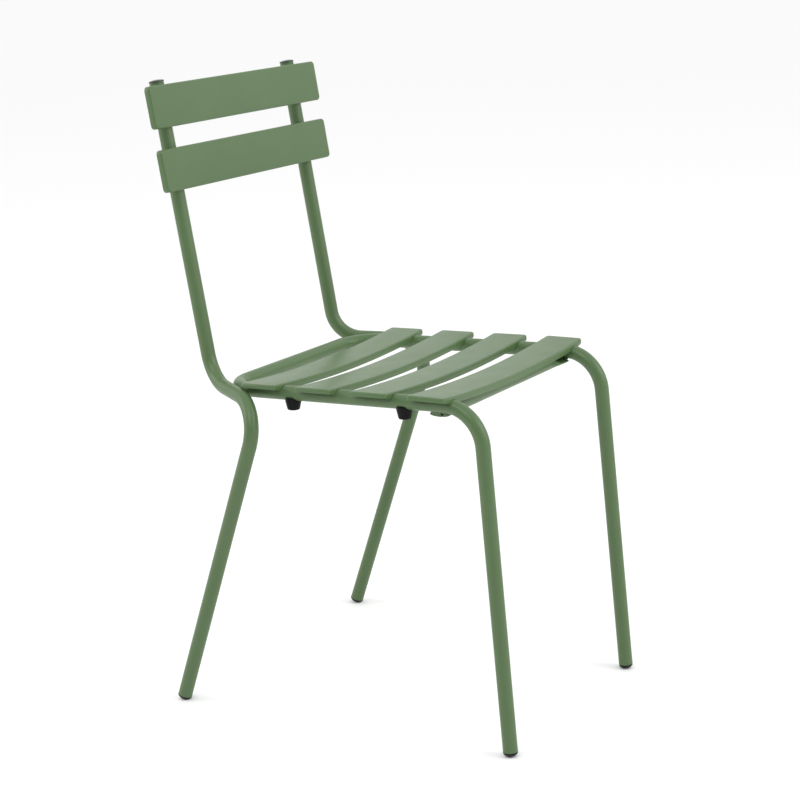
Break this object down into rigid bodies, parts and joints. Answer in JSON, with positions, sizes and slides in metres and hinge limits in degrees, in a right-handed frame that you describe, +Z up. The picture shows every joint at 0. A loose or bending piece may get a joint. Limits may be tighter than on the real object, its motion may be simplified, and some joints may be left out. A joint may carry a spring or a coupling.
{
  "type": "stacking chair",
  "caption": "Armless stacking chair: a bent steel tube frame with dished pressed slats for the seat and flat pressed slats for the back, on domed foot caps.",
  "frame": {"origin": "on the floor, under the centre of the bounding box", "axes": "+Z up, the sitter faces -Y, and +X is the sitter's left"},
  "size_m": [0.443, 0.5366, 0.8209],
  "materials": {
    "paint": "satin powder coat, sage green",
    "foot_plastic": "satin black moulded plastic",
    "post_cap_plastic": "satin very dark green moulded plastic",
    "bumper_rubber": "matt black rubber"
  },
  "bodies": {
    "root": {"seat_hoop": "paint", "rear_frame_left": "paint", "rear_frame_right": "paint", "front_cross_tube": "paint", "seat_slat_1": "paint", "seat_slat_2": "paint", "seat_slat_3": "paint", "seat_slat_4": "paint", "back_slat_upper": "paint", "back_slat_lower": "paint", "foot_cap_front_left": "foot_plastic", "foot_cap_front_right": "foot_plastic", "foot_cap_rear_left": "foot_plastic", "foot_cap_rear_right": "foot_plastic", "post_cap_left": "post_cap_plastic", "post_cap_right": "post_cap_plastic", "bumper_front_left": "bumper_rubber", "bumper_front_right": "bumper_rubber", "bumper_rear_left": "bumper_rubber", "bumper_rear_right": "bumper_rubber"}
  },
  "joints": []
}
